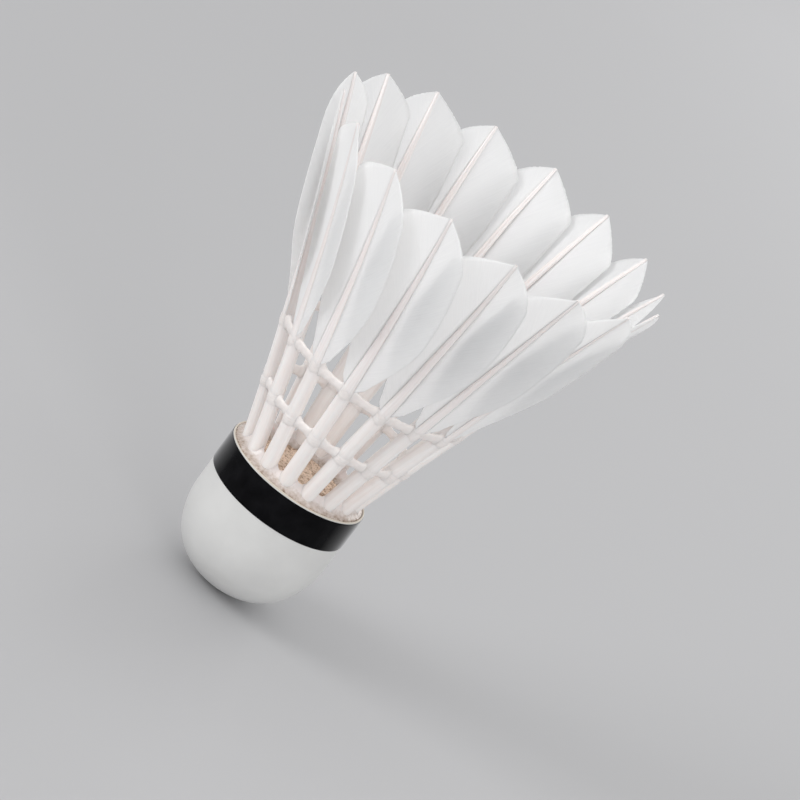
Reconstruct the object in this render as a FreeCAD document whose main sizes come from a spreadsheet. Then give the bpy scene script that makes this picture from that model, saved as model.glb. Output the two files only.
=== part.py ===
"""Feather badminton shuttlecock, 16 feathers, as a parametric FreeCAD document.

Frame: +Z runs from the nose of the base to the open mouth of the skirt, and the origin is the lowest
point of the nose. Lengths are millimetres and angles degrees.

A feather is drawn in a frame of its own: the origin is the middle of its quill at the top face of the
cork, +Y runs up the quill, +Z points out of the skirt and +X runs round it anticlockwise from above.
"""
import FreeCAD
import Part
import Sketcher
import math
import os

DIMENSIONS = (
    ("base_radius", 13.25, "radius of the covered base, and height of its dome"),
    ("base_height", 24.8, "nose to the top face of the cork"),
    ("nose_height", 14.0, "nose to the joint between the two cork layers"),
    ("cover_thickness", 0.35, "leather over the cork"),
    ("band_thickness", 0.15, "ribbon over the leather"),
    ("band_width", 6.0, "ribbon, along the axis"),
    ("rim_width", 0.35, "leather left bare above the ribbon"),
    ("feather_count", 16, "feathers round the skirt"),
    ("feather_length", 64.4, "cork to tip, along the quill"),
    ("root_depth", 8.0, "quill sunk into the cork"),
    ("root_circle", 10.42, "radius of the circle of quill centres on top of the cork"),
    ("root_lean", 16.7, "angle between the quill and the axis at the cork"),
    ("bow_radius", 600.0, "radius to which the quill curves outwards"),
    ("side_sweep", 1.75, "how far the tip bends sideways, clockwise seen from above"),
    ("quill_radius", 1.4, "quill where it leaves the cork"),
    ("socket_clearance", 0.03, "film of glue round the quill in its socket"),
    ("vane_start", 24.6, "cork to the lower end of the vane, along the quill"),
    ("vane_half_width", 8.5, "widest reach of the vane from the quill"),
    ("vane_thickness", 0.2, "sheet of barbs"),
    ("vane_offset", 0.1, "sheet of barbs, outwards of the middle of the quill"),
    ("blade_angle", 11.0, "turn of the vane about its quill, so that neighbours overlap"),
    ("camber_radius", 90.0, "radius of the vane's cross-section"),
    ("lower_thread", 11.8, "cork to the lower thread, along the quill"),
    ("upper_thread", 23.3, "cork to the upper thread, along the quill"),
    ("thread_radius", 0.45, "twisted thread between two quills"),
    ("wrap_thickness", 0.45, "thread wound round a quill"),
    ("wrap_height", 1.0, "thread wound round a quill, along it"),
    ("glue_height", 0.4, "glue above the cork"),
    ("glue_inner", 8.6, "inner radius of the ring of glue"),
    ("glue_outer", 12.45, "outer radius of the ring of glue"),
)

# The dome is three arcs that run smoothly into each other, a little fuller than half a sphere.
# These are the radii of the arcs, as shares of the dome's own radius.
DOME_FLAT_ARC = 1.2
DOME_ROUND_ARC = 0.78

# Quill: distance along it from the cork, and share of its radius there.
LOWER_THREAD_SHARE = 0.93
UPPER_THREAD_SHARE = 0.835
BARE_STATIONS = (("0", 1.0), ("Dims.lower_thread", LOWER_THREAD_SHARE))
VANE_STATIONS = (
    ("Dims.vane_start", 0.82),
    ("Dims.feather_length * 0.55", 0.59),
    ("Dims.feather_length * 0.7", 0.44),
    ("Dims.feather_length * 0.85", 0.315),
    ("Dims.feather_length * 0.99", 0.2),
)

# Vane: share of its half width, distance below the tip, and radius of the edge that follows.
SHOULDER = "2.5"
OUTER_HOLLOW = "-18"
OUTER_SIDE = "52"
INNER_SIDE = "70"
INNER_HOLLOW = "-40"
OUTER_EDGE = ((0.6, 30.2, OUTER_SIDE), (0.7, 6.4, SHOULDER), (0.6, 4.2, None))
INNER_EDGE = ((-0.83, 4.4, SHOULDER), (-0.98, 6.6, INNER_SIDE), (-0.67, 28.4, INNER_HOLLOW))
OUTER_FOOT = 0.9
INNER_FOOT = 0.6
INNER_FACE = "Dims.camber_radius"
OUTER_FACE = "(Dims.camber_radius + Dims.vane_thickness)"
STRIP_REACH = "(Dims.vane_half_width * 1.25)"
SHEET_PAST_TIP = 3
DEPTH_OF_CUT = 40.0

# How a sketch names the points of an edge, and its own origin.
START, END, CENTRE = 1, 2, 3
ORIGIN = -1

doc = FreeCAD.newDocument("shuttlecock")
sheet = doc.addObject("Spreadsheet::Sheet", "Dims")


def fill_sheet():
    for row, (alias, number, note) in enumerate(DIMENSIONS, start=1):
        sheet.set(f"A{row}", note)
        sheet.set(f"B{row}", str(number))
        sheet.setAlias(f"B{row}", alias)
    doc.recompute()


def number_from(expression):
    """The number that an expression of the sheet's cells gives."""
    result = sheet.evalExpression(expression)
    return float(getattr(result, "Value", result))


def new_body(label):
    body = doc.addObject("PartDesign::Body", label)
    body.Label = label
    return body


def origin_feature(body, role):
    return next(part for part in body.Origin.OriginFeatures if part.Role == role)


def new_sketch(body, name, role):
    sketch = body.newObject("Sketcher::SketchObject", name)
    sketch.AttachmentSupport = (origin_feature(body, role), [""])
    sketch.MapMode = "FlatFace"
    return sketch


def bind(target, **expressions):
    for prop, expression in expressions.items():
        target.setExpression(prop, expression)


def constrain(sketch, kind, *where, expression):
    """Adds one constraint whose value comes from an expression."""
    index = sketch.addConstraint(Sketcher.Constraint(kind, *where, number_from(expression)))
    sketch.setExpression(f"Constraints[{index}]", expression)


def edge_between(start, end, radius):
    """A straight edge, or an arc that bulges to the right of its way, or to the left if radius is below 0."""
    if radius is None:
        return Part.LineSegment(start, end)
    chord = end - start
    sagitta = abs(radius) - math.sqrt(radius**2 - (chord.Length / 2) ** 2)
    rightwards = FreeCAD.Vector(chord.y, -chord.x, 0).normalize()
    return Part.Arc(start, (start + end) / 2 + rightwards * math.copysign(sagitta, radius), end)


def outline(sketch, corners):
    """A closed outline. Each corner is x, y and the radius of the edge that follows, as expressions."""
    points = [FreeCAD.Vector(number_from(x), number_from(y), 0) for x, y, _ in corners]
    ends = []
    for (_, _, radius), start, end in zip(corners, points, points[1:] + points[:1]):
        bulge = None if radius is None else number_from(radius)
        edge = sketch.addGeometry(edge_between(start, end, bulge), False)
        forwards = sketch.getPoint(edge, START).isEqual(start, 1e-6)
        ends.append((edge, START, END) if forwards else (edge, END, START))
        if radius is not None:
            constrain(sketch, "Radius", edge, expression=f"abs({radius})")
    for (edge, first, _), (before, _, last), (x, y, _) in zip(ends, ends[-1:] + ends[:-1], corners):
        sketch.addConstraint(Sketcher.Constraint("Coincident", before, last, edge, first))
        constrain(sketch, "DistanceX", edge, first, expression=x)
        constrain(sketch, "DistanceY", edge, first, expression=y)


def turn(body, name, sketch, axis="V_Axis"):
    """A full turn of a sketch about one of its axes."""
    feature = body.newObject("PartDesign::Revolution", name)
    feature.Profile = sketch
    feature.ReferenceAxis = (sketch, [axis])
    feature.Angle = 360
    return feature


def revolved(body, name, corners):
    """A full turn, about the body's Z axis, of an outline drawn in its XZ plane."""
    sketch = new_sketch(body, f"{name}_profile", "XZ_Plane")
    outline(sketch, corners)
    return turn(body, name, sketch)


def lean_after(along):
    """How far the quill leans outwards at a distance along it from the top of the cork."""
    return f"(Dims.root_lean + ({along}) / Dims.bow_radius * 180 / pi)"


def sideways(along):
    """How far the quill has bent sideways at a distance along it from the top of the cork."""
    return f"(-Dims.side_sweep * (({along}) / Dims.feather_length)^3)"


def middle_of_quill(along):
    """The distance from the axis, and the height, of the middle of the quill at that distance along it."""
    lean = lean_after(along)
    from_axis = f"Dims.root_circle + Dims.bow_radius * (cos(Dims.root_lean) - cos{lean})"
    height = f"Dims.base_height + Dims.bow_radius * (sin{lean} - sin(Dims.root_lean))"
    return from_axis, height


def about(axis):
    """A placement that only turns about an axis, by an angle that an expression sets later."""
    return FreeCAD.Placement(FreeCAD.Vector(), FreeCAD.Rotation(axis, 1))


def circle_at_origin(sketch, radius):
    shape = Part.Circle(FreeCAD.Vector(), FreeCAD.Vector(0, 0, 1), number_from(radius))
    circle = sketch.addGeometry(shape, False)
    sketch.addConstraint(Sketcher.Constraint("Coincident", circle, CENTRE, ORIGIN, START))
    constrain(sketch, "Radius", circle, expression=radius)


def circle_across_quill(body, name, along, radius):
    """A circle across the quill that stands over the X axis, in the part's frame."""
    sketch = new_sketch(body, name, "XY_Plane")
    circle_at_origin(sketch, radius)
    from_axis, height = middle_of_quill(along)
    sketch.AttachmentOffset = about(FreeCAD.Vector(0, 1, 0))
    sketch.setExpression("AttachmentOffset.Base.x", from_axis)
    sketch.setExpression("AttachmentOffset.Base.y", sideways(along))
    sketch.setExpression("AttachmentOffset.Base.z", height)
    sketch.setExpression("AttachmentOffset.Rotation.Angle", lean_after(along))
    return sketch


def round_the_axis(body, feature):
    """Repeats a feature once for each feather."""
    pattern = body.newObject("PartDesign::PolarPattern", f"{feature.Name}_round")
    pattern.Originals = [feature]
    pattern.Axis = (origin_feature(body, "Z_Axis"), [""])
    pattern.Angle = 360
    bind(pattern, Occurrences="Dims.feather_count")
    body.Tip = pattern
    return pattern


def drill_for_quills(body, name, along, share, length):
    """Holes for all the quills, where they have that share of their radius at the cork.

    Stops if the holes took nothing away.
    """
    doc.recompute()
    before = body.Shape.Volume
    radius = f"Dims.quill_radius * {share} + Dims.socket_clearance"
    hole = body.newObject("PartDesign::Pocket", name)
    hole.Profile = circle_across_quill(body, f"{name}_circle", along, radius)
    hole.Midplane = True
    bind(hole, Length=length)
    round_the_axis(body, hole)
    doc.recompute()
    if not body.Shape.Volume < before:
        raise RuntimeError(f"{name} cut nothing")


def dome_shares():
    """Where the flat arc meets the round one: from the axis, and from the dome's centre, as shares."""
    gap = DOME_FLAT_ARC - DOME_ROUND_ARC
    rise = DOME_FLAT_ARC - 1
    round_centre = (math.sqrt(2 * gap**2 - rise**2) - rise) / 2
    near = DOME_FLAT_ARC * round_centre / gap
    far = DOME_FLAT_ARC * (round_centre + rise) / gap - rise
    return near, far


def dome(radius):
    """The dome's corners, from the axis to where the straight side starts."""
    near, far = dome_shares()
    centre = "Dims.base_radius"
    flat_arc = f"({radius}) * {DOME_FLAT_ARC}"
    round_arc = f"({radius}) * {DOME_ROUND_ARC}"
    return [
        ("0", f"{centre} - ({radius})", flat_arc),
        (f"({radius}) * {near}", f"{centre} - ({radius}) * {far}", round_arc),
        (f"({radius}) * {far}", f"{centre} - ({radius}) * {near}", flat_arc),
        (radius, centre, None),
    ]


def walked_back(corners):
    """The same edges from the last corner to the first."""
    edges = [f"-({edge})" for _, _, edge in corners[-2::-1]]
    return [(x, y, edge) for (x, y, _), edge in zip(corners[::-1], edges + [None])]


def straight(*points):
    """Corners joined by straight edges."""
    return [(x, y, None) for x, y in points]


def make_cork_nose():
    body = new_body("cork_nose")
    radius = "Dims.base_radius - Dims.cover_thickness"
    top = "Dims.nose_height"
    revolved(body, "nose", dome(radius) + straight((radius, top), ("0", top)))
    return body


def make_cork_core():
    body = new_body("cork_core")
    radius = "Dims.base_radius - Dims.cover_thickness"
    low, high = "Dims.nose_height", "Dims.base_height"
    revolved(body, "core", straight(("0", low), (radius, low), (radius, high), ("0", high)))
    drill_for_quills(body, "sockets", "0", 1, "Dims.root_depth * 2")
    return body


def make_leather_cover():
    body = new_body("leather_cover")
    outer, inner = "Dims.base_radius", "Dims.base_radius - Dims.cover_thickness"
    rim = straight((outer, "Dims.base_height"), (inner, "Dims.base_height"))
    revolved(body, "cover", dome(outer) + rim + walked_back(dome(inner)))
    return body


def make_ribbon_band():
    body = new_body("ribbon_band")
    inner, outer = "Dims.base_radius", "Dims.base_radius + Dims.band_thickness"
    high = "Dims.base_height - Dims.rim_width"
    low = f"{high} - Dims.band_width"
    revolved(body, "ribbon", straight((inner, low), (outer, low), (outer, high), (inner, high)))
    return body


def make_glue_ring():
    body = new_body("glue_ring")
    inner, outer = "Dims.glue_inner", "Dims.glue_outer"
    low, high = "Dims.base_height", "Dims.base_height + Dims.glue_height"
    revolved(body, "glue", straight((inner, low), (outer, low), (outer, high), (inner, high)))
    drill_for_quills(body, "quill_holes", "0", 1, "Dims.root_depth")
    return body


def make_thread(label, along, share):
    """One row: a strand from quill to quill, and a winding round each quill."""
    body = new_body(label)
    from_axis, height = middle_of_quill(along)
    sketch = new_sketch(body, "strand_profile", "XZ_Plane")
    middle = FreeCAD.Vector(number_from(from_axis), number_from(height), 0)
    section = Part.Circle(middle, FreeCAD.Vector(0, 0, 1), number_from("Dims.thread_radius"))
    circle = sketch.addGeometry(section, False)
    constrain(sketch, "DistanceX", circle, CENTRE, expression=from_axis)
    constrain(sketch, "DistanceY", circle, CENTRE, expression=height)
    constrain(sketch, "Radius", circle, expression="Dims.thread_radius")
    turn(body, "strand", sketch)
    winding = body.newObject("PartDesign::Pad", "winding")
    winding_radius = f"Dims.quill_radius * {share} + Dims.wrap_thickness"
    winding.Profile = circle_across_quill(body, "winding_circle", along, winding_radius)
    winding.Midplane = True
    bind(winding, Length="Dims.wrap_height")
    round_the_axis(body, winding)
    drill_for_quills(body, "quill_holes", along, share, "Dims.wrap_height * 4")
    return body


def place_feather(body, number):
    """Stands a body drawn in the feather's frame at its place in the skirt."""
    turn = f"(360 / Dims.feather_count * {number})"
    foot = f"create(<<vector>>; Dims.root_circle * cos{turn}; Dims.root_circle * sin{turn}; Dims.base_height)"
    round_axis = f"create(<<rotation>>; create(<<vector>>; 0; 0; 1); {turn} + 90)"
    lean = "create(<<rotation>>; create(<<vector>>; 1; 0; 0); 90 + Dims.root_lean)"
    body.setExpression("Placement", f"create(<<placement>>; {foot}; {round_axis} * {lean})")


def quill_section(body, name, along, radius):
    """A circle across the curved middle line of the quill, in the feather's frame."""
    sketch = new_sketch(body, name, "XZ_Plane")
    circle_at_origin(sketch, radius)
    turned = f"({along}) / Dims.bow_radius * 180 / pi"
    sketch.AttachmentOffset = about(FreeCAD.Vector(1, 0, 0))
    sketch.setExpression("AttachmentOffset.Base.x", sideways(along))
    sketch.setExpression("AttachmentOffset.Base.y", f"Dims.bow_radius * (1 - cos({turned}))")
    sketch.setExpression("AttachmentOffset.Base.z", f"-Dims.bow_radius * sin({turned})")
    sketch.setExpression("AttachmentOffset.Rotation.Angle", turned)
    return sketch


def make_quill(number):
    body = new_body(f"feather_{number:02d}_quill")
    root = body.newObject("PartDesign::Pad", "root")
    root.Profile = quill_section(body, "root_circle", "0", "Dims.quill_radius")
    bind(root, Length="Dims.root_depth")
    sections = [
        quill_section(body, f"section_{index}", along, f"Dims.quill_radius * {share}")
        for index, (along, share) in enumerate(BARE_STATIONS + VANE_STATIONS)
    ]
    shaft = body.newObject("PartDesign::AdditiveLoft", "shaft")
    shaft.Profile = sections[0]
    shaft.Sections = sections[1:]
    shaft.Ruled = True
    place_feather(body, number)
    return body


def vane_sheet(body):
    """A thin cambered strip, turned about a far axis so that it curves as the quill does."""
    sketch = new_sketch(body, "strip", "XZ_Plane")
    corners = []
    for radius, side in ((OUTER_FACE, 1), (OUTER_FACE, -1), (INNER_FACE, -1), (INNER_FACE, 1)):
        from_middle = f"({side} * asin({STRIP_REACH} / {radius}) - Dims.blade_angle * 1 deg)"
        x = f"{radius} * sin{from_middle} + {INNER_FACE} * sin(Dims.blade_angle)"
        y = f"{radius} * cos{from_middle} - {INNER_FACE} * cos(Dims.blade_angle) + Dims.vane_offset"
        corners.append((x, y))
    edges = (OUTER_FACE, None, f"-{INNER_FACE}", None)
    outline(sketch, [(x, y, edge) for (x, y), edge in zip(corners, edges)])
    far = number_from("Dims.bow_radius")
    axis = sketch.addGeometry(Part.LineSegment(FreeCAD.Vector(0, far, 0), FreeCAD.Vector(1, far, 0)), True)
    sketch.addConstraint(Sketcher.Constraint("Horizontal", axis))
    constrain(sketch, "DistanceX", axis, START, expression="0")
    constrain(sketch, "DistanceX", axis, END, expression="1")
    constrain(sketch, "DistanceY", axis, START, expression="Dims.bow_radius")
    bent = turn(body, "sheet", sketch, "Axis0")
    bind(bent, Angle=f"(Dims.feather_length + {SHEET_PAST_TIP}) / Dims.bow_radius * 180 / pi")


def share_of_vane(share, below_tip, edge):
    """A corner of the vane, as a share of its half width and a distance below its tip."""
    return (f"Dims.vane_half_width * {share}", f"Dims.feather_length - {below_tip}", edge)


def vane_corners():
    """The leaf shape, anticlockwise from the foot on the outer side, with the quill's slot left out."""
    slot = [(f"Dims.quill_radius * {share}", along, None) for along, share in VANE_STATIONS]
    foot_x, foot_y, _ = slot[0]
    outer = [share_of_vane(*corner) for corner in OUTER_EDGE]
    inner = [share_of_vane(*corner) for corner in INNER_EDGE]
    foot = [(f"{foot_x} + {OUTER_FOOT}", foot_y, OUTER_HOLLOW)]
    tip = [("0", "Dims.feather_length", None)]
    far_foot = [(f"-({foot_x} + {INNER_FOOT})", foot_y, None)]
    mirrored = [(f"-{x}", y, edge) for x, y, edge in slot]
    about_quill = foot + outer + tip + inner + far_foot + mirrored + slot[::-1]
    return [(f"{x} + {sideways(y)}", y, edge) for x, y, edge in about_quill]


def make_vane(number):
    body = new_body(f"feather_{number:02d}_vane")
    vane_sheet(body)
    sketch = new_sketch(body, "leaf", "XY_Plane")
    outline(sketch, vane_corners())
    low, high = "-1", f"Dims.feather_length + {SHEET_PAST_TIP * 2}"
    left, right = f"-2 * {STRIP_REACH}", f"2 * {STRIP_REACH}"
    outline(sketch, straight((left, low), (right, low), (right, high), (left, high)))
    cut = body.newObject("PartDesign::Pocket", "trimmed")
    cut.Profile = sketch
    cut.Midplane = True
    cut.Length = DEPTH_OF_CUT
    place_feather(body, number)
    return body


def check(bodies):
    """Stops if any object failed or any sub-part is not one or more sound solids."""
    for item in doc.Objects:
        if {"Invalid", "Error"} & set(item.State):
            raise RuntimeError(f"{item.Name} in {item.getParent()} failed: {item.State}")
    for body in bodies:
        shape = body.Shape
        if shape.isNull() or not shape.isValid() or not shape.Solids:
            raise RuntimeError(f"{body.Label} has no sound solid")


def main():
    fill_sheet()
    bodies = [
        make_cork_nose(),
        make_cork_core(),
        make_leather_cover(),
        make_ribbon_band(),
        make_glue_ring(),
        make_thread("lower_thread", "Dims.lower_thread", LOWER_THREAD_SHARE),
        make_thread("upper_thread", "Dims.upper_thread", UPPER_THREAD_SHARE),
    ]
    for number in range(int(sheet.get("feather_count"))):
        bodies.append(make_quill(number + 1))
        bodies.append(make_vane(number + 1))
    doc.recompute()
    check(bodies)
    os.makedirs("parts", exist_ok=True)
    for body in bodies:
        body.Shape.exportStep(f"parts/{body.Label}.step")
        print(f"{body.Label}: {len(body.Shape.Solids)} solids, {body.Shape.Volume:.2f} cubic mm")


main()
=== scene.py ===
import bmesh
import bpy
import math
import random
import numpy as np
from mathutils import Matrix, Vector


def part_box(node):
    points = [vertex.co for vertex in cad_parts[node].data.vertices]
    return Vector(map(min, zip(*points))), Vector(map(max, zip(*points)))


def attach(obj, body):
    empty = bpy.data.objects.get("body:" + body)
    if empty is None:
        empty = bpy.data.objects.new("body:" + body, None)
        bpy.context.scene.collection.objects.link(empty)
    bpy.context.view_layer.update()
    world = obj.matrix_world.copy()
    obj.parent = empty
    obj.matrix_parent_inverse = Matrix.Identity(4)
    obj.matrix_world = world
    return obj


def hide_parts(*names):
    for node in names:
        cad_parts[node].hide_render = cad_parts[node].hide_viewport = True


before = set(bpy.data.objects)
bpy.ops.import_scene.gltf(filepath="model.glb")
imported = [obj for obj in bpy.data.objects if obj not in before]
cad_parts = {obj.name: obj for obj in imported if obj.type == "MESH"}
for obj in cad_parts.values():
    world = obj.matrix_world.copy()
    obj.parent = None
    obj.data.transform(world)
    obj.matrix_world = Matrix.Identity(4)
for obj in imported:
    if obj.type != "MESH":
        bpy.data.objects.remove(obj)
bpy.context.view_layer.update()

# Lengths in this script are millimetres, and MM turns them into metres. In the part's frame +Z runs
# from the nose of the base to the open mouth of the skirt, and the origin is the tip of the nose.
MM = 0.001

# ---------------------------------------------------------------- sizes, from the CAD design

FEATHERS = 16
BASE_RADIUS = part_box("leather_cover")[1].x / MM
BASE_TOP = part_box("leather_cover")[1].z / MM
BAND_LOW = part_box("ribbon_band")[0].z / MM
BAND_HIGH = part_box("ribbon_band")[1].z / MM
BAND_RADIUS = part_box("ribbon_band")[1].x / MM
CORK_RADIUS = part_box("cork_core")[1].x / MM
CORK_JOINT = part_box("cork_core")[0].z / MM

# The circle of quills on top of the cork, their lean and curve, and places along a quill.
ROOT_CIRCLE = 10.42
ROOT_LEAN = math.radians(16.7)
BOW_RADIUS = 600.0
SIDE_SWEEP = 1.75
FEATHER_LENGTH = 64.4
QUILL_RADIUS = 1.4
ROOT_SHOWN_FROM = -1.5
LOWER_THREAD = 11.8
UPPER_THREAD = 23.3
VANE_START = 24.6

# The two halves of a vane: widest reach from the quill, turn about the quill, and radius across.
OUTER_REACH = 7.35
INNER_REACH = 8.4
OUTER_BLADE = math.radians(15.0)
INNER_BLADE = math.radians(9.0)
CAMBER_RADIUS = 90.0

# Feathers whose outer half has opened, and by how many degrees at the tip.
OPENED_MORE = {5: 4, 6: 6, 7: 22, 8: 5}

# Half of the quill's width at distances along it from the cork.
QUILL_HALF_WIDTH = (
    (-10, QUILL_RADIUS),
    (0, QUILL_RADIUS),
    (11.8, 1.3),
    (24.6, 1.15),
    (30.0, 0.97),
    (35.4, 0.83),
    (45.1, 0.62),
    (54.7, 0.44),
    (64.4, 0.26),
)


# ---------------------------------------------------------------- small helpers

def table_lookup(table, at):
    """The value at a place, on straight lines between a table's pairs."""
    places, values = zip(*table)
    return np.interp(at, places, values)


def mesh_object(name, points, faces):
    """A mesh in metres from points in millimetres, with its faces turned outwards."""
    mesh = bpy.data.meshes.new(name)
    mesh.from_pydata((np.asarray(points) * MM).tolist(), [], faces)
    mesh.polygons.foreach_set("use_smooth", [True] * len(mesh.polygons))
    shape = bmesh.new()
    shape.from_mesh(mesh)
    bmesh.ops.recalc_face_normals(shape, faces=shape.faces)
    shape.to_mesh(mesh)
    shape.free()
    mesh.update()
    made = bpy.data.objects.new(name, mesh)
    bpy.context.scene.collection.objects.link(made)
    return made


def store(made, name, values):
    """Keeps three numbers for each vertex, for the material to read."""
    attribute = made.data.attributes.new(name, "FLOAT_VECTOR", "POINT")
    attribute.data.foreach_set("vector", np.asarray(values, dtype=np.float32).ravel())


def grid_faces(rows, columns, start=0, closed_columns=False, flip=False):
    """Quads between the points of a grid that are numbered row by row."""
    faces = []
    across = columns if closed_columns else columns - 1
    for row in range(rows - 1):
        for column in range(across):
            after = (column + 1) % columns
            a = start + row * columns + column
            b = start + row * columns + after
            c = b + columns
            d = a + columns
            faces.append((d, c, b, a) if flip else (a, b, c, d))
    return faces


def angles_round(steps):
    """Evenly spaced angles of one full turn."""
    return np.arange(steps) * 2 * math.pi / steps


def lathe(profile, steps):
    """Points and faces of a profile of (radius, height) turned about the Z axis."""
    angles = angles_round(steps)
    points = [
        (radius * math.cos(angle), radius * math.sin(angle), height)
        for radius, height in profile
        for angle in angles
    ]
    return points, grid_faces(len(profile), steps, closed_columns=True)


def ripple(x, y, z, seed):
    """Smooth numbers from about -1 to 1 that wander over space."""
    draw = random.Random(seed)
    total = 0.0
    for _ in range(4):
        kx, ky, kz, phase = (draw.uniform(-1, 1) for _ in range(4))
        total = total + np.sin(kx * x + ky * y + kz * z + phase * math.pi)
    return total / 2.5


def ripple_round(angle, waves, seed, level=0.0):
    """A ripple that runs round the axis and meets itself again."""
    return ripple(np.cos(angle) * waves, np.sin(angle) * waves, level + 0 * angle, seed)


# ---------------------------------------------------------------- materials

def new_material(name, colour, roughness, settings=()):
    """A material with one Principled shader whose plain values are set on its own sockets."""
    material = bpy.data.materials.new(name)
    material.use_nodes = True
    shader = material.node_tree.nodes["Principled BSDF"]
    shader.inputs["Base Color"].default_value = (*colour, 1)
    shader.inputs["Roughness"].default_value = roughness
    for socket, value in dict(settings).items():
        shader.inputs[socket].default_value = value
    return material, material.node_tree, shader


def add_node(tree, kind, **values):
    """A node whose named properties and inputs are set."""
    node = tree.nodes.new(kind)
    for name, value in values.items():
        if hasattr(node, name):
            setattr(node, name, value)
        else:
            node.inputs[name.replace("_", " ").title()].default_value = value
    return node


def object_place(tree, scale=(1, 1, 1)):
    """The place on the object in metres, times a scale."""
    place = tree.nodes.new("ShaderNodeTexCoord")
    mapping = tree.nodes.new("ShaderNodeMapping")
    mapping.inputs["Scale"].default_value = scale
    tree.links.new(place.outputs["Object"], mapping.inputs["Vector"])
    return mapping.outputs["Vector"]


def stored_place(tree, name, scale=(1, 1, 1)):
    """The three numbers that a mesh keeps for each vertex, times a scale."""
    place = tree.nodes.new("ShaderNodeAttribute")
    place.attribute_name = name
    mapping = tree.nodes.new("ShaderNodeMapping")
    mapping.inputs["Scale"].default_value = scale
    tree.links.new(place.outputs["Vector"], mapping.inputs["Vector"])
    return mapping.outputs["Vector"]


def noise_of(tree, vector, scale=1.0, detail=3.0, roughness=0.5):
    """Cloudy numbers from 0 to 1."""
    node = add_node(tree, "ShaderNodeTexNoise", scale=scale, detail=detail, roughness=roughness)
    tree.links.new(vector, node.inputs["Vector"])
    return node.outputs["Fac"]


def ramp_of(tree, value, *stops):
    """A colour for each value, from pairs of place and colour."""
    node = tree.nodes.new("ShaderNodeValToRGB")
    elements = node.color_ramp.elements
    while len(elements) < len(stops):
        elements.new(1.0)
    for element, (place, colour) in zip(elements, stops):
        element.position = place
        element.color = (*colour, 1)
    tree.links.new(value, node.inputs["Fac"])
    return node.outputs["Color"]


def product(tree, first, second):
    """One colour times another."""
    node = add_node(tree, "ShaderNodeVectorMath", operation="MULTIPLY")
    tree.links.new(first, node.inputs[0])
    tree.links.new(second, node.inputs[1])
    return node.outputs["Vector"]


def bump_of(tree, shader, value, distance, strength=1.0, before=None):
    """Relief of a distance in metres, on top of an earlier relief if there is one."""
    node = add_node(tree, "ShaderNodeBump", distance=distance, strength=strength)
    tree.links.new(value, node.inputs["Height"])
    if before:
        tree.links.new(before.outputs["Normal"], node.inputs["Normal"])
    tree.links.new(node.outputs["Normal"], shader.inputs["Normal"])
    return node


def vane_material():
    """White barbs that let some light through, with faint streaks along them."""
    settings = {
        "Subsurface Weight": 0.85,
        "Subsurface Radius": (1.0, 0.97, 0.94),
        "Subsurface Scale": 0.9 * MM,
        "Sheen Weight": 0.1,
        "Specular IOR Level": 0.3,
    }
    material, tree, shader = new_material("feather_vane", (0.95, 0.95, 0.95), 0.5, settings)
    along_barbs = noise_of(tree, stored_place(tree, "barb", (4.0, 0.15, 1.0)), 1.0, 2.0)
    colour = ramp_of(tree, along_barbs, (0.25, (0.92, 0.92, 0.92)), (0.75, (0.98, 0.98, 0.975)))
    tree.links.new(colour, shader.inputs["Base Color"])
    fine = noise_of(tree, stored_place(tree, "barb", (14.0, 0.6, 1.0)), 1.0, 1.0)
    bump_of(tree, shader, fine, 0.05 * MM, 0.5)
    return material


def quill_material():
    """Pale horn: pinkish cream at the root, a little greyer towards the tip, with fine streaks."""
    settings = {
        "Subsurface Weight": 0.5,
        "Subsurface Radius": (1.0, 0.92, 0.88),
        "Subsurface Scale": 0.8 * MM,
        "Coat Weight": 0.15,
        "Coat Roughness": 0.2,
        "Specular IOR Level": 0.4,
    }
    material, tree, shader = new_material("feather_quill", (0.9, 0.84, 0.81), 0.38, settings)
    along = add_node(tree, "ShaderNodeSeparateXYZ")
    tree.links.new(stored_place(tree, "quill"), along.inputs["Vector"])
    share = add_node(tree, "ShaderNodeMath", operation="MULTIPLY")
    share.inputs[1].default_value = 1 / FEATHER_LENGTH
    tree.links.new(along.outputs["X"], share.inputs[0])
    colour = ramp_of(
        tree,
        share.outputs["Value"],
        (0.0, (0.97, 0.92, 0.9)),
        (0.3, (0.97, 0.93, 0.915)),
        (0.5, (0.95, 0.9, 0.89)),
        (1.0, (0.93, 0.88, 0.87)),
    )
    streaks = noise_of(tree, stored_place(tree, "quill", (0.08, 3.0, 1.0)), 1.0, 3.0)
    shade = ramp_of(tree, streaks, (0.3, (0.93, 0.91, 0.9)), (0.7, (1.0, 1.0, 1.0)))
    tree.links.new(product(tree, colour, shade), shader.inputs["Base Color"])
    bump_of(tree, shader, streaks, 0.04 * MM, 0.6)
    return material


def thread_material():
    """White thread soaked in clear glue."""
    settings = {
        "Subsurface Weight": 0.3,
        "Subsurface Radius": (1.0, 0.92, 0.88),
        "Subsurface Scale": 0.5 * MM,
        "Coat Weight": 0.35,
        "Coat Roughness": 0.25,
    }
    material, tree, shader = new_material("glued_thread", (0.87, 0.83, 0.81), 0.42, settings)
    cloud = noise_of(tree, object_place(tree), 900.0, 3.0)
    colour = ramp_of(tree, cloud, (0.3, (0.85, 0.8, 0.775)), (0.7, (0.9, 0.855, 0.835)))
    tree.links.new(colour, shader.inputs["Base Color"])
    bump_of(tree, shader, noise_of(tree, object_place(tree), 3500.0, 2.0), 0.05 * MM, 0.5)
    return material


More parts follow.
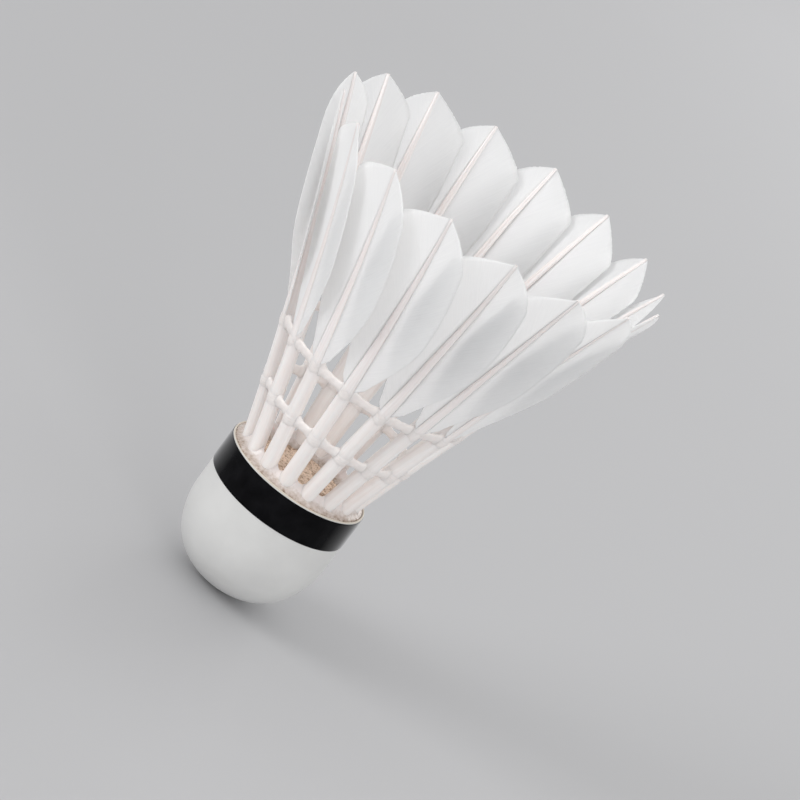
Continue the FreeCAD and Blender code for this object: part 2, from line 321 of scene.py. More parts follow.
def leather_material():
    """Thin white leather with a fine grain, and its cream raw edge at the rim."""
    settings = {
        "Subsurface Weight": 0.12,
        "Subsurface Radius": (1.0, 0.95, 0.9),
        "Subsurface Scale": 0.6 * MM,
        "Sheen Weight": 0.05,
        "Specular IOR Level": 0.45,
    }
    material, tree, shader = new_material("white_leather", (0.7, 0.7, 0.69), 0.42, settings)
    cloud = noise_of(tree, object_place(tree), 160.0, 4.0)
    colour = ramp_of(tree, cloud, (0.3, (0.66, 0.66, 0.65)), (0.7, (0.7, 0.7, 0.69)))
    height = add_node(tree, "ShaderNodeSeparateXYZ")
    tree.links.new(object_place(tree, (1, 1, 1 / (BASE_TOP * MM))), height.inputs["Vector"])
    edge = ramp_of(tree, height.outputs["Z"], (0.988, (1, 1, 1)), (0.996, (0.97, 0.88, 0.76)))
    tree.links.new(product(tree, colour, edge), shader.inputs["Base Color"])
    grain = add_node(tree, "ShaderNodeTexVoronoi", feature="DISTANCE_TO_EDGE", scale=2600.0)
    tree.links.new(object_place(tree), grain.inputs["Vector"])
    first = bump_of(tree, shader, grain.outputs["Distance"], 0.015 * MM, 0.35)
    wrinkles = noise_of(tree, object_place(tree), 700.0, 4.0)
    bump_of(tree, shader, wrinkles, 0.06 * MM, 0.3, before=first)
    return material


def ribbon_material():
    """Glossy black ribbon, a little uneven from the weave below its film."""
    settings = {"Specular IOR Level": 0.05, "Coat Roughness": 0.12, "Coat IOR": 2.2}
    material, tree, shader = new_material("black_ribbon", (0.004, 0.004, 0.0045), 0.2, settings)
    facing = add_node(tree, "ShaderNodeLayerWeight", blend=0.5)
    gloss = ramp_of(tree, facing.outputs["Facing"], (0.42, (0, 0, 0)), (0.85, (1, 1, 1)))
    tree.links.new(gloss, shader.inputs["Coat Weight"])
    cloud = noise_of(tree, object_place(tree), 400.0, 4.0)
    colour = ramp_of(tree, cloud, (0.3, (0.002, 0.002, 0.0025)), (0.7, (0.006, 0.006, 0.007)))
    tree.links.new(colour, shader.inputs["Base Color"])
    bump_of(tree, shader, noise_of(tree, object_place(tree), 500.0, 2.0), 0.02 * MM, 0.2)
    return material


def cork_material(name, dark, light, cell):
    """Cork granules of two tones, with fine dark specks between them."""
    material, tree, shader = new_material(name, light, 0.75, {"Specular IOR Level": 0.25})
    grains = add_node(tree, "ShaderNodeTexVoronoi", scale=cell)
    tree.links.new(object_place(tree), grains.inputs["Vector"])
    tone = add_node(tree, "ShaderNodeSeparateXYZ")
    tree.links.new(grains.outputs["Color"], tone.inputs["Vector"])
    lightest = tuple(min(1, share * 1.15) for share in light)
    colour = ramp_of(tree, tone.outputs["X"], (0.0, dark), (0.35, light), (1.0, lightest))
    dust = noise_of(tree, object_place(tree), cell * 3, 4.0, 0.7)
    specks = ramp_of(tree, dust, (0.38, (0.35, 0.25, 0.18)), (0.48, (1, 1, 1)))
    tree.links.new(product(tree, colour, specks), shader.inputs["Base Color"])
    bump_of(tree, shader, grains.outputs["Distance"], 0.2 * MM, 0.5)
    return material


def glue_material():
    """Dried glue: clear and pinkish where it stands high, full of cork dust where it is thin."""
    settings = {
        "Subsurface Weight": 0.35,
        "Subsurface Radius": (1.0, 0.8, 0.7),
        "Subsurface Scale": 0.7 * MM,
        "Coat Weight": 0.3,
    }
    material, tree, shader = new_material("dusty_glue", (0.8, 0.7, 0.62), 0.4, settings)
    dust = noise_of(tree, object_place(tree), 1300.0, 5.0, 0.7)
    height = add_node(tree, "ShaderNodeSeparateXYZ")
    tree.links.new(stored_place(tree, "rise"), height.inputs["Vector"])
    total = add_node(tree, "ShaderNodeMath", operation="ADD")
    tree.links.new(dust, total.inputs[0])
    tree.links.new(height.outputs["X"], total.inputs[1])
    colour = ramp_of(
        tree,
        total.outputs["Value"],
        (0.4, (0.16, 0.1, 0.065)),
        (0.5, (0.4, 0.31, 0.25)),
        (0.64, (0.56, 0.48, 0.43)),
        (0.95, (0.76, 0.7, 0.68)),
    )
    tree.links.new(colour, shader.inputs["Base Color"])
    bump_of(tree, shader, dust, 0.1 * MM, 0.5)
    return material


def plain_material(name, colour, roughness):
    """One colour with a faint unevenness."""
    material, tree, shader = new_material(name, colour, roughness)
    cloud = noise_of(tree, object_place(tree), 6.0, 3.0)
    low = tuple(c * 0.985 for c in colour)
    tree.links.new(ramp_of(tree, cloud, (0.3, low), (0.7, colour)), shader.inputs["Base Color"])
    return material


# ---------------------------------------------------------------- the feather's own frame

def quill_half_width(along):
    """Half of the quill's width at distances along it."""
    return table_lookup(QUILL_HALF_WIDTH, along)


def feather_matrix(number):
    """From the feather's frame to the part's: X round the skirt, Y up the quill, Z outwards."""
    angle = 2 * math.pi * number / FEATHERS
    turn = Matrix.Rotation(angle + math.pi / 2, 4, "Z")
    foot = Matrix.Translation((0, -ROOT_CIRCLE, BASE_TOP))
    lean = Matrix.Rotation(math.pi / 2 + ROOT_LEAN, 4, "X")
    return np.array(turn @ foot @ lean)


def bent(x, along, outwards):
    """Points at distances along the quill's curved middle line, to its side and outwards of it."""
    turned = np.maximum(along, 0) / BOW_RADIUS
    x = x - SIDE_SWEEP * (np.maximum(along, 0) / FEATHER_LENGTH) ** 3
    y = np.where(along > 0, BOW_RADIUS * np.sin(turned), along) - outwards * np.sin(turned)
    z = np.where(along > 0, BOW_RADIUS * (1 - np.cos(turned)), 0) + outwards * np.cos(turned)
    return np.stack([x, y, z], axis=-1)


def in_place(points, number):
    """Points of the feather's frame in the part's frame."""
    matrix = feather_matrix(number)
    return points.reshape(-1, 3) @ matrix[:3, :3].T + matrix[:3, 3]


class Character:
    """How one feather differs from the others."""

    def __init__(self, number):
        draw = random.Random(700 + number)
        self.seed = draw.randrange(10**6)
        self.length = FEATHER_LENGTH + draw.uniform(-0.15, 0.15)
        self.width = 1 + draw.uniform(-0.02, 0.02)
        tilt = math.radians(draw.uniform(-0.7, 0.7))
        self.blade = {1: OUTER_BLADE + tilt, -1: INNER_BLADE + tilt}
        self.opened = {1: math.radians(OPENED_MORE.get(number, 0)), -1: 0.0}
        self.camber = CAMBER_RADIUS * draw.uniform(0.85, 1.2)
        self.wave = draw.uniform(0.04, 0.12)
        self.roundness = 1 + draw.uniform(-0.1, 0.1)


# ---------------------------------------------------------------- vanes

# Barbs on each half of a vane, points along each, and the search for where a barb meets the edge.
BARBS = 84
BARB_POINTS = 13
HALVINGS = 40
LONGEST_BARB = 30.0

# How far barbs stand out of the sheet, and its thickness at the quill and at its edge.
RELIEF = 0.012
VANE_THICK = 0.14
EDGE_THICK = 0.05

# How far each half reaches beyond the quill at its lower end, how far below the tip its rounded end
# starts, and how much the outer half has narrowed there.
OUTER_FOOT = 0.9
INNER_FOOT = 0.7
OUTER_SHOULDER = 6.4
INNER_SHOULDER = 6.5
OUTER_NARROWS = 1.05


def vane_reach(along, side, character):
    """How far the vane reaches from the quill's middle, on one side, at a distance along it."""
    below_tip = character.length - along
    shoulder = OUTER_SHOULDER if side > 0 else INNER_SHOULDER
    foot = quill_half_width(VANE_START) + (OUTER_FOOT if side > 0 else INNER_FOOT)
    part = np.clip(below_tip / shoulder, 0, 1)
    if side > 0:
        crown = OUTER_REACH * character.width
        swell = np.sin(np.clip((along - VANE_START) / 19.0, 0, 1) * math.pi / 2) ** 1.3
        narrowing = OUTER_NARROWS * (np.maximum(along - 46.0, 0) / 12) ** 2
        flank = foot + (crown - foot) * swell - narrowing
        rounded = 1 - (1 - part) ** (3.0 * character.roundness)
        top = (crown - OUTER_NARROWS) * (0.55 * rounded + 0.45 * part)
    else:
        crown = INNER_REACH * character.width
        upwards = np.clip((along - VANE_START) / 25.0, 0, 1)
        flank = foot + (crown - foot) * np.sin(upwards * math.pi / 2) ** 1.25
        top = crown * (1 - (1 - part) ** (1.5 * character.roundness))
    return np.where(below_tip < shoulder, top, flank)


def barb_lines(side, character):
    """The barbs' points, as distances along the quill and from its middle.

    Every other root is a groove between two barbs. Each barb grows until it meets the outline.
    """
    roots = np.linspace(VANE_START, character.length - 0.05, 2 * BARBS + 1)
    share = (roots - VANE_START) / (character.length - VANE_START)
    angle = np.radians(38 - 24 * share**2.5)
    start = quill_half_width(roots) * 0.9
    low = np.zeros_like(roots)
    high = np.full_like(roots, LONGEST_BARB)
    for _ in range(HALVINGS):
        middle = (low + high) / 2
        across = start + middle * np.sin(angle)
        inside = across < vane_reach(roots + middle * np.cos(angle), side, character)
        low = np.where(inside, middle, low)
        high = np.where(inside, high, middle)
    draw = np.random.default_rng(character.seed + side)
    ragged = np.repeat(draw.normal(0, 0.035, BARBS + 1), 2)[: len(roots)]
    length = np.maximum(low + ragged * np.clip((1 - share) * 4, 0, 1), 0.02)
    steps = np.linspace(0, 1, BARB_POINTS) ** 0.9
    sweep = 0.25 * np.sin(math.pi * steps[None, :]) * np.clip(length[:, None] / 10, 0, 1)
    along = roots[:, None] + length[:, None] * steps[None, :] * np.cos(angle)[:, None] - sweep
    across = start[:, None] + length[:, None] * steps[None, :] * np.sin(angle)[:, None]
    return roots, length, steps, along, across


def vane_surface(along, across, side, character):
    """The middle of the sheet in the feather's frame, before its thickness."""
    half = quill_half_width(along)
    share = np.clip((along - VANE_START) / (FEATHER_LENGTH - VANE_START), 0, 1)
    blade = character.blade[side] * (0.55 + 0.45 * np.clip(share * 3.3, 0, 1))
    blade = blade + character.opened[side] * share**2.5
    u = side * across
    lift = u * np.sin(blade) - u**2 / (2 * character.camber) + half * 0.55
    waves = ripple(along * 0.45, u * 0.5, 0 * along, character.seed) * character.wave
    lift = lift + waves * np.clip((across - half) / 4, 0, 1)
    return u * np.cos(blade), lift


def make_vane(number, material):
    """Both halves of one vane: closed sheets of barbs, thinner towards the barbs' ends."""
    character = Character(number)
    points, faces, barb = [], [], []
    for side in (1, -1):
        roots, length, steps, along, across = barb_lines(side, character)
        rows = len(roots)
        crest = np.where(np.arange(rows) % 2 == 1, 1.0, -1.0)[:, None]
        ends = np.clip((1 - steps[None, :]) * 12, 0.3, 1)
        fade = np.clip(across - quill_half_width(along), 0, 1) * ends
        x, lift = vane_surface(along, across, side, character)
        lift = lift + RELIEF * crest * fade
        thick = EDGE_THICK + (VANE_THICK - EDGE_THICK) * (1 - steps[None, :]) ** 0.5
        start = len(points)
        for sign in (1, -1):
            sheet = bent(x, along, lift + sign * thick / 2)
            points.extend(in_place(sheet, number).tolist())
            place = np.broadcast_arrays(roots[:, None], steps * length[:, None], side)
            barb.extend(np.stack(place, -1).reshape(-1, 3).tolist())
        size = rows * BARB_POINTS
        faces += grid_faces(rows, BARB_POINTS, start)
        faces += grid_faces(rows, BARB_POINTS, start + size, flip=True)
        rim = (
            [row * BARB_POINTS for row in range(rows)]
            + [(rows - 1) * BARB_POINTS + column for column in range(1, BARB_POINTS)]
            + [row * BARB_POINTS + BARB_POINTS - 1 for row in range(rows - 2, -1, -1)]
            + list(range(BARB_POINTS - 2, 0, -1))
        )
        for a, b in zip(rim, rim[1:] + rim[:1]):
            faces.append((start + a, start + b, start + size + b, start + size + a))
    made = mesh_object(f"vane_{number:02d}", points, faces)
    store(made, "barb", barb)
    made.data.materials.append(material)
    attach(made, "root")
    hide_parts(f"feather_{number:02d}_vane")


# ---------------------------------------------------------------- quills

QUILL_RINGS = 70
QUILL_SIDES = 20

# The groove along the shaft, as shares of the shaft's half width.
GROOVE_WIDTH = 0.28
GROOVE_DEPTH = 0.35


def make_quill(number, material):
    """A round barrel that turns into a squarer shaft, with a groove along its inner side."""
    character = Character(number)
    tip = character.length - 0.1
    along = np.linspace(ROOT_SHOWN_FROM, tip, QUILL_RINGS)
    half = quill_half_width(along)
    squareness = np.clip((along - UPPER_THREAD + 4) / 12, 0, 1)
    around = angles_round(QUILL_SIDES)
    power = 2 + 1.6 * squareness[:, None]
    c, s = np.cos(around)[None, :], np.sin(around)[None, :]
    radius = (np.abs(c) ** power + np.abs(s) ** power) ** (-1 / power)
    x = half[:, None] * radius * c
    z = half[:, None] * radius * s
    groove = np.exp(-((c / GROOVE_WIDTH) ** 2)) * (s < 0) * squareness[:, None]
    z = z + groove * half[:, None] * GROOVE_DEPTH
    sway = ripple(along * 0.3, 0 * along, 0 * along, character.seed + 9) * 0.05
    sway = sway * np.clip(along / 10, 0, 1)
    x = x + sway[:, None]
    rows = np.broadcast_to(along[:, None], x.shape)
    points = in_place(bent(x, rows, z), number).tolist()
    faces = grid_faces(QUILL_RINGS, QUILL_SIDES, closed_columns=True)
    stored = np.stack(np.broadcast_arrays(rows, around[None, :], half[:, None]), -1)
    places = stored.reshape(-1, 3).tolist()
    for ring, order in ((0, 1), (QUILL_RINGS - 1, -1)):
        loop = [ring * QUILL_SIDES + side for side in range(QUILL_SIDES)]
        faces.append(tuple(loop[::-order]))
    made = mesh_object(f"quill_{number:02d}", points, faces)
    store(made, "quill", places)
    made.data.materials.append(material)
    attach(made, "root")
    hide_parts(f"feather_{number:02d}_quill")


# ---------------------------------------------------------------- threads

def middle_of_quill(along):
    """Distance from the axis, height and lean of the middle of a quill."""
    lean = ROOT_LEAN + along / BOW_RADIUS
    from_axis = ROOT_CIRCLE + BOW_RADIUS * (math.cos(ROOT_LEAN) - math.cos(lean))
    height = BASE_TOP + BOW_RADIUS * (math.sin(lean) - math.sin(ROOT_LEAN))
    return from_axis, height, lean


# The feather where the lower thread's cut end stands off.
LOOSE_END_AT = 8
BAR_SAMPLES = 64
BAR_SIDES = 24
COLLAR_SIDES = 44
COLLAR_LEVELS = 25

# One twist of the strands, one winding round a quill, half of the bar's depth, how much taller and
# deeper it is at a quill, and how far from the quill that fades.
STRAND_PITCH = 1.5
WINDING_PITCH = 0.42
BAR_HALF_DEPTH = 0.36
FILLET_TALL = 0.45
FILLET_DEEP = 0.3
FILLET_FADES = 0.45


def add_bar(along, half_height, seed, points, faces):
    """The twisted strands that run on from quill to quill, in a film of glue, as one closed bar."""
    from_axis, height, lean = middle_of_quill(along)
    samples = FEATHERS * BAR_SAMPLES
    angle = angles_round(samples)[:, None]
    around = angles_round(BAR_SIDES)[None, :]
    spacing = 2 * math.pi / FEATHERS
    from_quill = np.abs((angle + spacing / 2) % spacing - spacing / 2) * from_axis
    fillet = np.exp(-np.maximum(from_quill - quill_half_width(along), 0) / FILLET_FADES)
    uneven = 1 + 0.07 * ripple_round(angle, 17, seed)
    tall = (half_height + FILLET_TALL * fillet) * uneven
    deep = (BAR_HALF_DEPTH + FILLET_DEEP * fillet) * uneven
    turns = round(2 * math.pi * from_axis / STRAND_PITCH)
    strands = 1 + 0.045 * np.cos(3 * around - turns * angle)
    level = ripple_round(angle, 4, seed + 1) * 0.08
    up = tall * strands * np.sin(around)
    out = deep * strands * np.cos(around)
    radius = from_axis + out * math.cos(lean) + up * math.sin(lean)
    z = height + level + up * math.cos(lean) - out * math.sin(lean)
    start = len(points)
    bar = np.stack([radius * np.cos(angle), radius * np.sin(angle), z], -1)
    points.extend(bar.reshape(-1, 3).tolist())
    for row in range(samples):
        for column in range(BAR_SIDES):
            right = (column + 1) % BAR_SIDES
            here, after = start + row * BAR_SIDES, start + (row + 1) % samples * BAR_SIDES
            faces.append((here + column, after + column, after + right, here + right))


def add_collar(number, along, reach, proud, seed, points, faces):
    """The windings round one quill, sunk in glue: thickest on the outside of the skirt."""
    around = angles_round(COLLAR_SIDES)[None, :]
    level = np.linspace(-1, 1, COLLAR_LEVELS)[:, None]
    draw = random.Random(seed + number)
    reach = reach * (1 + draw.uniform(-0.08, 0.08))
    outside = 0.5 + 0.5 * np.clip(np.sin(around), 0, 1)
    lumps = 1 + 0.1 * ripple_round(around, 2.3, seed + number, level * 2)
    thick = proud * outside * lumps * (1 - np.abs(level) ** 2.6)
    windings = np.cos(level * reach / WINDING_PITCH * 2 * math.pi + around + draw.uniform(0, 6))
    thick = thick + 0.03 * windings * (1 - level**2)
    rows = along + level * reach + 0.1 * np.sin(around + draw.uniform(0, 6))
    radius = quill_half_width(rows) - 0.03 + thick
    collar = bent(radius * np.cos(around), rows, radius * np.sin(around))
    start = len(points)
    points.extend(in_place(collar, number).tolist())
    faces.extend(grid_faces(COLLAR_LEVELS, COLLAR_SIDES, start, closed_columns=True, flip=True))


def add_loose_end(number, along, points, faces):
    """The cut end of the thread, standing off its last winding."""
    steps, sides = 14, 10
    share = np.linspace(0, 1, steps)[:, None]
    around = angles_round(sides)[None, :]
    thick = 0.2 - 0.07 * share
    x = -1.2 - 1.3 * share + thick * np.cos(around)
    z = 1.1 + 0.7 * np.sin(share * 2.6) + thick * np.sin(around)
    rows = along - 0.7 - 0.9 * share**1.5 + 0 * around
    start = len(points)
    points.extend(in_place(bent(x, rows, z), number).tolist())
    faces.extend(grid_faces(steps, sides, start, closed_columns=True))
    faces.append(tuple(start + (steps - 1) * sides + side for side in range(sides)))


def make_thread(name, along, material, half_height, reach, proud, seed):
    """One row of thread: the bar between the quills and a collar round each of them."""
    points, faces = [], []
    add_bar(along, half_height, seed, points, faces)
    for number in range(1, FEATHERS + 1):
        add_collar(number, along, reach, proud, seed, points, faces)
    if name == "lower_thread":
        add_loose_end(LOOSE_END_AT, along, points, faces)
    made = mesh_object(f"{name}_strands", points, faces)
    made.data.materials.append(material)
    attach(made, "root")
    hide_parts(name)


# ---------------------------------------------------------------- base

# The radii of the dome's arcs, as shares of the dome's own radius.
DOME_FLAT_ARC = 1.2
DOME_ROUND_ARC = 0.78
COVER_STEPS = 160

# The ribbon's outside sinks below the CAD ribbon's, so that its puckers and its lap stay near it.
BAND_STEPS = 240
BAND_SOFT_EDGE = 0.07
RIBBON_SINKS = 0.065
LAP_BEHIND = math.radians(118)
LAP_THICKNESS = 0.06

# The cork's rough top lies a little below the CAD cork's.
CORK_TOP_SINKS = 0.12

# The glue's inner radius, then the heights of its thin film, of its wall from quill to quill and of
# where it climbs each quill.
GLUE_INNER = 8.2
GLUE_THIN = 0.32
WALL_HEIGHT = 1.6
DRAWN_UP = 0.6


def dome_profile(radius, steps):
    """The dome of three smooth arcs, from the axis to the straight side."""
    gap = DOME_FLAT_ARC - DOME_ROUND_ARC
    rise = DOME_FLAT_ARC - 1
    round_centre = (math.sqrt(2 * gap**2 - rise**2) - rise) / 2
    join = math.atan2(round_centre, round_centre + rise)
    profile = []
    for step in range(steps + 1):
        angle = step / steps * math.pi / 2
        if angle < join:
            x, y = DOME_FLAT_ARC * math.sin(angle), DOME_FLAT_ARC - DOME_FLAT_ARC * math.cos(angle)
        elif angle > math.pi / 2 - join:
            x = 1 - DOME_FLAT_ARC + DOME_FLAT_ARC * math.sin(angle)
            y = 1 - DOME_FLAT_ARC * math.cos(angle)
        else:
            x = round_centre + DOME_ROUND_ARC * math.sin(angle)
            y = 1 - round_centre - DOME_ROUND_ARC * math.cos(angle)
        profile.append((radius * x, BASE_RADIUS - radius + radius * y))
    return profile


def make_cover(material):
    """The leather: outside, a rounded rim, and the inside of the lip."""
    outside = dome_profile(BASE_RADIUS, 60)[1:]
    sides = [(BASE_RADIUS, z) for z in np.linspace(BASE_RADIUS, BASE_TOP - 0.2, 24)[1:]]
    half = (BASE_RADIUS - CORK_RADIUS) / 2
    rim = [
        (BASE_RADIUS - half + half * math.cos(a), BASE_TOP - half + half * math.sin(a))
        for a in np.linspace(0, math.pi, 9)
    ]
    lip = [(CORK_RADIUS, BASE_TOP - 1.0), (CORK_RADIUS, CORK_JOINT)]
    inside = dome_profile(CORK_RADIUS, 40)[1:][::-1]
    profile = outside + sides + rim + lip + inside
    steps = COVER_STEPS
    points, faces = lathe(profile, steps)
    points = np.array(points)
    angle = np.arctan2(points[:, 1], points[:, 0])
    height = points[:, 2]
    uneven = ripple_round(angle, 6, 31, height * 0.8) * 0.025
    at_rim = np.clip((height - BASE_TOP + 0.5) / 0.5, 0, 1)
    wave = at_rim * ripple_round(angle, 9, 32)
    near_floor = np.clip(height / 3, 0, 1)
    scale = 1 - np.abs(uneven) * near_floor / BASE_RADIUS
    points[:, 0] *= scale
    points[:, 1] *= scale
    points[:, 2] += wave * 0.06 - 0.03 * at_rim
    pole, inner_pole = len(points), len(points) + 1
    last = (len(profile) - 1) * steps
    for step in range(steps):
        after = (step + 1) % steps
        faces.append((pole, after, step))
        faces.append((inner_pole, last + step, last + after))
    points = points.tolist() + [(0, 0, 0), (0, 0, BASE_RADIUS - CORK_RADIUS)]
    made = mesh_object("cover_leather", points, faces)
    made.data.materials.append(material)
    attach(made, "root")
    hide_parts("leather_cover")


def make_band(material):
    """The ribbon, with soft edges and a lapped end behind."""
    low, high = BAND_LOW, BAND_HIGH
    inner, outer = BASE_RADIUS - 0.08, BAND_RADIUS
    soft = BAND_SOFT_EDGE
    profile = [(inner, low), (outer - soft, low)]
    corner = [(soft * math.sin(a), soft * math.cos(a)) for a in np.linspace(0.3, math.pi / 2, 5)]
    profile += [(outer - soft + out, low + soft - down) for out, down in corner]
    profile += [(outer, z) for z in np.linspace(low + 0.4, high - 0.4, 10)]
    profile += [(outer - soft + out, high - soft + up) for out, up in corner[::-1]]
    profile += [(outer - soft, high), (inner, high)]
    steps = BAND_STEPS
    points, faces = lathe(profile + profile[:1], steps)
    points = np.array(points[: len(profile) * steps])
    count = len(profile) * steps
    faces = [tuple(index % count for index in face) for face in faces]
    angle = np.arctan2(points[:, 1], points[:, 0])
    radius = np.hypot(points[:, 0], points[:, 1])
    puckers = ripple_round(angle, 7, 77, points[:, 2] * 0.9) * 0.012
    from_end = (angle - LAP_BEHIND + math.pi) % (2 * math.pi) - math.pi
    step_up = 1 / (1 + np.exp(-from_end * BASE_RADIUS * 12))
    lap = LAP_THICKNESS * step_up * np.clip((0.5 - from_end) * 6, 0, 1)
    outside = radius > BASE_RADIUS
    pushed = np.where(outside, radius - RIBBON_SINKS + puckers + lap, radius)
    points[:, 0] = pushed * np.cos(angle)
    points[:, 1] = pushed * np.sin(angle)
    edge = np.abs(points[:, 2] - (low + high) / 2) / ((high - low) / 2)
    points[:, 2] += ripple_round(angle, 5, 78) * 0.03 * edge
    made = mesh_object("band_ribbon", points, faces)
    made.data.materials.append(material)
    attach(made, "root")
    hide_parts("ribbon_band")


def make_cork_top(material):
    """The upper cork layer, with a pitted granular top."""
    rings, steps = 60, 200
    radii = np.linspace(0.12, CORK_RADIUS - 0.05, rings)
    angle = angles_round(steps)
    r, a = np.meshgrid(radii, angle, indexing="ij")
    x, y = r * np.cos(a), r * np.sin(a)
    lumps = ripple(x * 1.9, y * 1.9, 0 * x, 11) * 0.05 + ripple(x * 4.1, y * 4.1, 0 * x, 12) * 0.04
    pits = np.clip(ripple(x * 3.3, y * 3.3, 0 * x, 13) - 0.9, 0, 1) * 0.5
    z = BASE_TOP - CORK_TOP_SINKS + lumps - pits
    points = np.stack([x, y, z], -1).reshape(-1, 3).tolist()
    faces = grid_faces(rings, steps, closed_columns=True)
    centre = len(points)
    points.append((0, 0, BASE_TOP - CORK_TOP_SINKS))
    faces += [(centre, step, (step + 1) % steps) for step in range(steps)]
    rim = (rings - 1) * steps
    low = len(points)
    points += [(CORK_RADIUS * math.cos(v), CORK_RADIUS * math.sin(v), CORK_JOINT) for v in angle]
    for step in range(steps):
        after = (step + 1) % steps
        faces.append((rim + step, low + step, low + after, rim + after))
    faces.append(tuple(low + step for step in range(steps - 1, -1, -1)))
    made = mesh_object("cork_top", points, faces)
    made.data.materials.append(material)
    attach(made, "root")
    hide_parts("cork_core")


def glue_rise(x, y, across):
    """How high the glue stands above the cork: a wall between the quills, with thin edges."""
    distance = np.hypot(x, y)
    inner_edge = np.clip(across / 0.3, 0, 1) ** 0.7
    outer_edge = np.clip((1 - across) / 0.1, 0, 1) ** 0.5
    rise = GLUE_THIN * inner_edge * outer_edge
    rise = rise + 0.07 * ripple(x * 1.6, y * 1.6, 0 * x, 41)
    rise = rise + 0.05 * ripple(x * 4.5, y * 4.5, 0 * x, 42)
    uneven = 1 + 0.2 * ripple(x * 0.5, y * 0.5, 0 * x, 43)
    rise = rise + WALL_HEIGHT * uneven * np.exp(-(((distance - ROOT_CIRCLE - 0.35) / 0.8) ** 2))
    for number in range(FEATHERS):
        turn = 2 * math.pi * number / FEATHERS
        away = np.hypot(x - ROOT_CIRCLE * math.cos(turn), y - ROOT_CIRCLE * math.sin(turn))
        rise = rise + DRAWN_UP * np.exp(-np.clip(away - QUILL_RADIUS, 0, 9) / 0.3)
    return rise


def make_glue(material):
    """The ring of glue: thin at its edges and drawn up round every quill."""
    rings, steps = 44, 640
    radii = np.linspace(GLUE_INNER, CORK_RADIUS - 0.02, rings)
    angle = angles_round(steps)
    r, a = np.meshgrid(radii, angle, indexing="ij")
    x, y = r * np.cos(a), r * np.sin(a)
    across = (r - radii[0]) / (radii[-1] - radii[0])
    rise = np.maximum(glue_rise(x, y, across), 0) * np.clip(across / 0.1, 0, 1)
    points = np.stack([x, y, BASE_TOP - 0.15 + rise], -1).reshape(-1, 3).tolist()
    faces = grid_faces(rings, steps, closed_columns=True)
    size = rings * steps
    edge_x, edge_y = x[[0, -1]], y[[0, -1]]
    underside = np.stack([edge_x, edge_y, np.full_like(edge_x, BASE_TOP - 0.5)], -1)
    points += underside.reshape(-1, 3).tolist()
    last = (rings - 1) * steps
    inner, outer = size, size + steps
    for step in range(steps):
        after = (step + 1) % steps
        faces.append((after, step, inner + step, inner + after))
        faces.append((last + step, last + after, outer + after, outer + step))
        faces.append((inner + step, outer + step, outer + after, inner + after))
    made = mesh_object("glue_bead", points, faces)
    heights = np.concatenate([rise.ravel(), np.zeros(2 * steps)])
    store(made, "rise", np.stack([heights * 0.35, 0 * heights, 0 * heights], -1))
    made.data.materials.append(material)
    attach(made, "root")
    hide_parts("glue_ring")


# ---------------------------------------------------------------- stage

FLOOR_REACH = 3000.0
FLOOR_POINTS = 40
LIT_MIDDLE = (0, 0, 50)


def make_floor():
    """A plain pale floor just below the nose."""
    side = np.linspace(-FLOOR_REACH, FLOOR_REACH, FLOOR_POINTS)
    x, y = np.meshgrid(side, side, indexing="ij")
    points = np.stack([x, y, 0 * x - 0.05], -1).reshape(-1, 3)
    floor = mesh_object("floor", points, grid_faces(FLOOR_POINTS, FLOOR_POINTS, flip=True))
    floor.data.materials.append(plain_material("pale_floor", (0.5, 0.5, 0.51), 0.7))


def add_light(name, place, size, power):
    """A soft round white light that faces the middle of the object."""
    light = bpy.data.lights.new(name, "AREA")
    light.shape = "DISK"
    light.size = size * MM
    light.energy = power
    made = bpy.data.objects.new(name, light)
    made.location = Vector(place) * MM
    made.rotation_euler = (Vector(LIT_MIDDLE) - Vector(place)).to_track_quat("-Z", "Y").to_euler()
    bpy.context.scene.collection.objects.link(made)


def make_light():
    """An even white surrounding and four soft lights."""
    world = bpy.data.worlds.new("studio")
    world.use_nodes = True
    background = world.node_tree.nodes["Background"]
    background.inputs["Color"].default_value = (1.0, 1.0, 1.0, 1)
    background.inputs["Strength"].default_value = 0.7
    bpy.context.scene.world = world
    add_light("key", (-640, -400, 380), 420, 2.5)
    add_light("fill", (460, -700, 280), 440, 1.7)
    add_light("back", (160, 780, 320), 440, 0.9)
    add_light("top", (60, 160, 760), 500, 0.4)


CAMERA_AZIMUTH = math.radians(4.2)
CAMERA_ELEVATION = math.radians(18.3)
CAMERA_ROLL = math.radians(36.74)
CAMERA_DISTANCE = 747.7

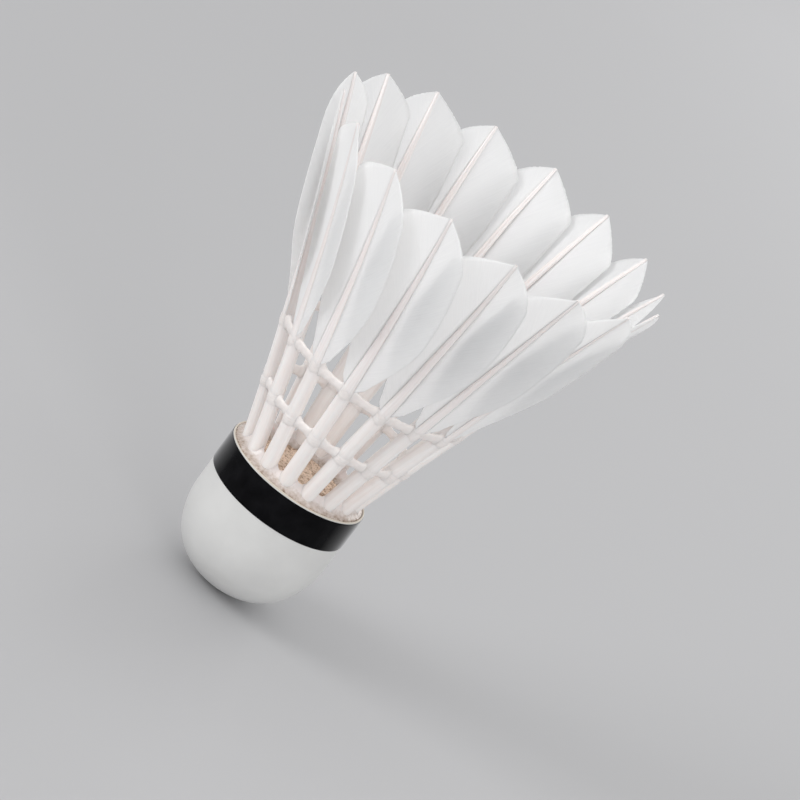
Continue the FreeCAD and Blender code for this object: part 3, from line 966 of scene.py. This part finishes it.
# The camera aims at a point to the right of the object's middle and below it, as the camera sees it.
CAMERA_MIDDLE = (0, 0, 45.9)
CAMERA_AIM = (4.9, -4.03)
LENS = 201.2


def make_camera():
    """The camera of the reference view: it looks down into the mouth and is rolled."""
    az, el = CAMERA_AZIMUTH, CAMERA_ELEVATION
    back = Vector((math.sin(az) * math.cos(el), -math.cos(az) * math.cos(el), math.sin(el)))
    level = Vector((math.cos(az), math.sin(az), 0))
    steep = back.cross(level)
    right = level * math.cos(CAMERA_ROLL) + steep * math.sin(CAMERA_ROLL)
    up = back.cross(right)
    aim = Vector(CAMERA_MIDDLE) + right * CAMERA_AIM[0] + up * CAMERA_AIM[1]
    data = bpy.data.cameras.new("camera")
    data.lens = LENS
    data.sensor_width = 36.0
    data.clip_start = 0.01
    data.clip_end = 50
    camera = bpy.data.objects.new("camera", data)
    rotation = Matrix((right, up, back)).transposed().to_4x4()
    camera.matrix_world = Matrix.Translation((aim + back * CAMERA_DISTANCE) * MM) @ rotation
    bpy.context.scene.collection.objects.link(camera)
    bpy.context.scene.camera = camera


def main():
    """The whole scene: camera, light, floor, then every visible piece."""
    make_camera()
    make_light()
    make_floor()
    vane = vane_material()
    quill = quill_material()
    thread = thread_material()
    for number in range(1, FEATHERS + 1):
        make_vane(number, vane)
        make_quill(number, quill)
    make_thread("lower_thread", LOWER_THREAD, thread, half_height=0.78, reach=1.05, proud=0.15, seed=5)
    make_thread("upper_thread", UPPER_THREAD, thread, half_height=0.9, reach=1.2, proud=0.17, seed=6)
    make_cover(leather_material())
    make_band(ribbon_material())
    composite_cork = cork_material("composite_cork", (0.42, 0.29, 0.2), (0.72, 0.56, 0.44), 900.0)
    make_cork_top(composite_cork)
    make_glue(glue_material())
    natural_cork = cork_material("natural_cork", (0.42, 0.27, 0.16), (0.68, 0.49, 0.31), 500.0)
    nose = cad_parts["cork_nose"]
    nose.data.materials.clear()
    nose.data.materials.append(natural_cork)
    bpy.context.scene.view_settings.view_transform = "Standard"


main()
